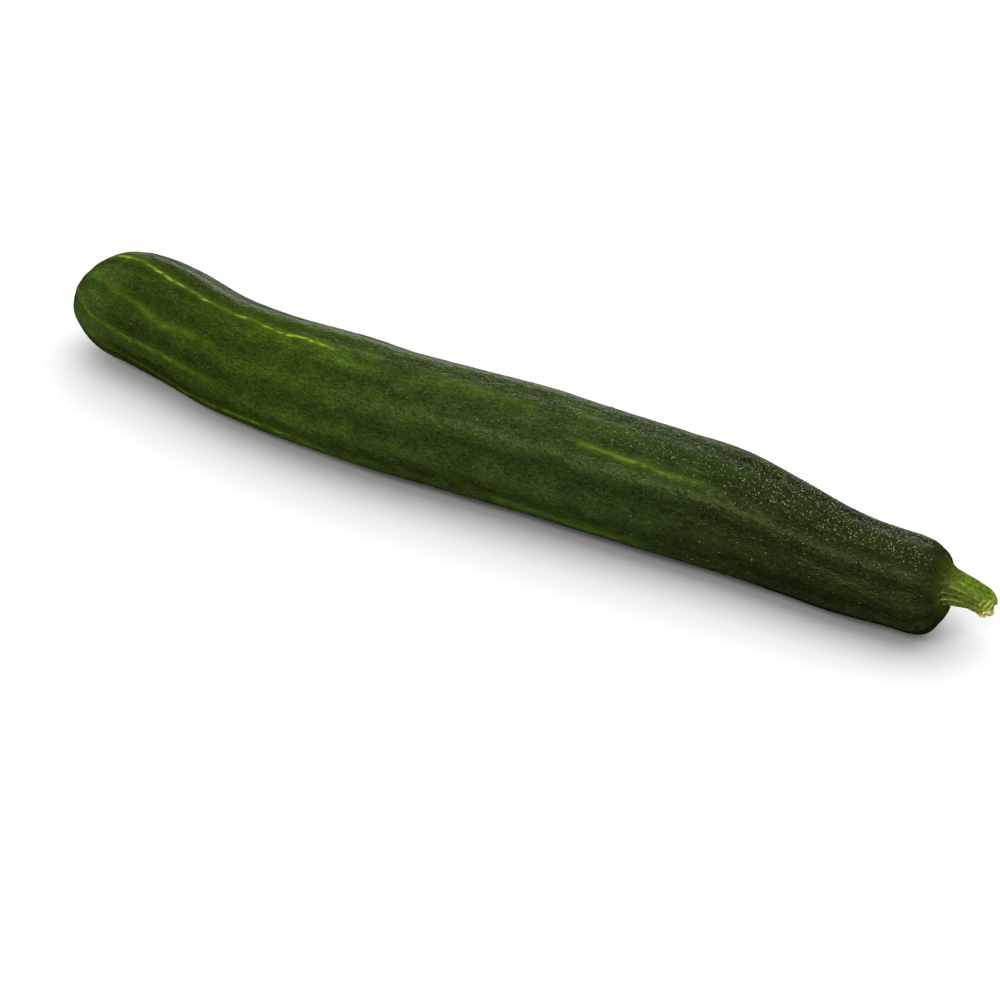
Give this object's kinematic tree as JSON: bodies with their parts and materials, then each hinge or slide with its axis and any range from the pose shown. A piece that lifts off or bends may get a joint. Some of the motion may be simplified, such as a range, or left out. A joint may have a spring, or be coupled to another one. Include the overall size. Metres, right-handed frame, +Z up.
{
  "type": "cucumber",
  "caption": "Long greenhouse cucumber as picked, gently curved and ribbed, with its short ribbed stub of stem, lying on its side.",
  "frame": {"origin": "under the middle of the whole box, on the surface the cucumber lies on", "axes": "+X along the cucumber towards its stem, -X towards the blossom end, +Z up, +Y to its far side as seen from the side"},
  "size_m": [0.3756, 0.0542, 0.045],
  "materials": {
    "skin": "dark green waxy skin, satin, lighter at the blossom end",
    "stem": "yellow-green ribbed stalk, satin, dry tan at the cut"
  },
  "bodies": {
    "root": {"fruit": "skin", "stem": "stem"}
  },
  "joints": []
}
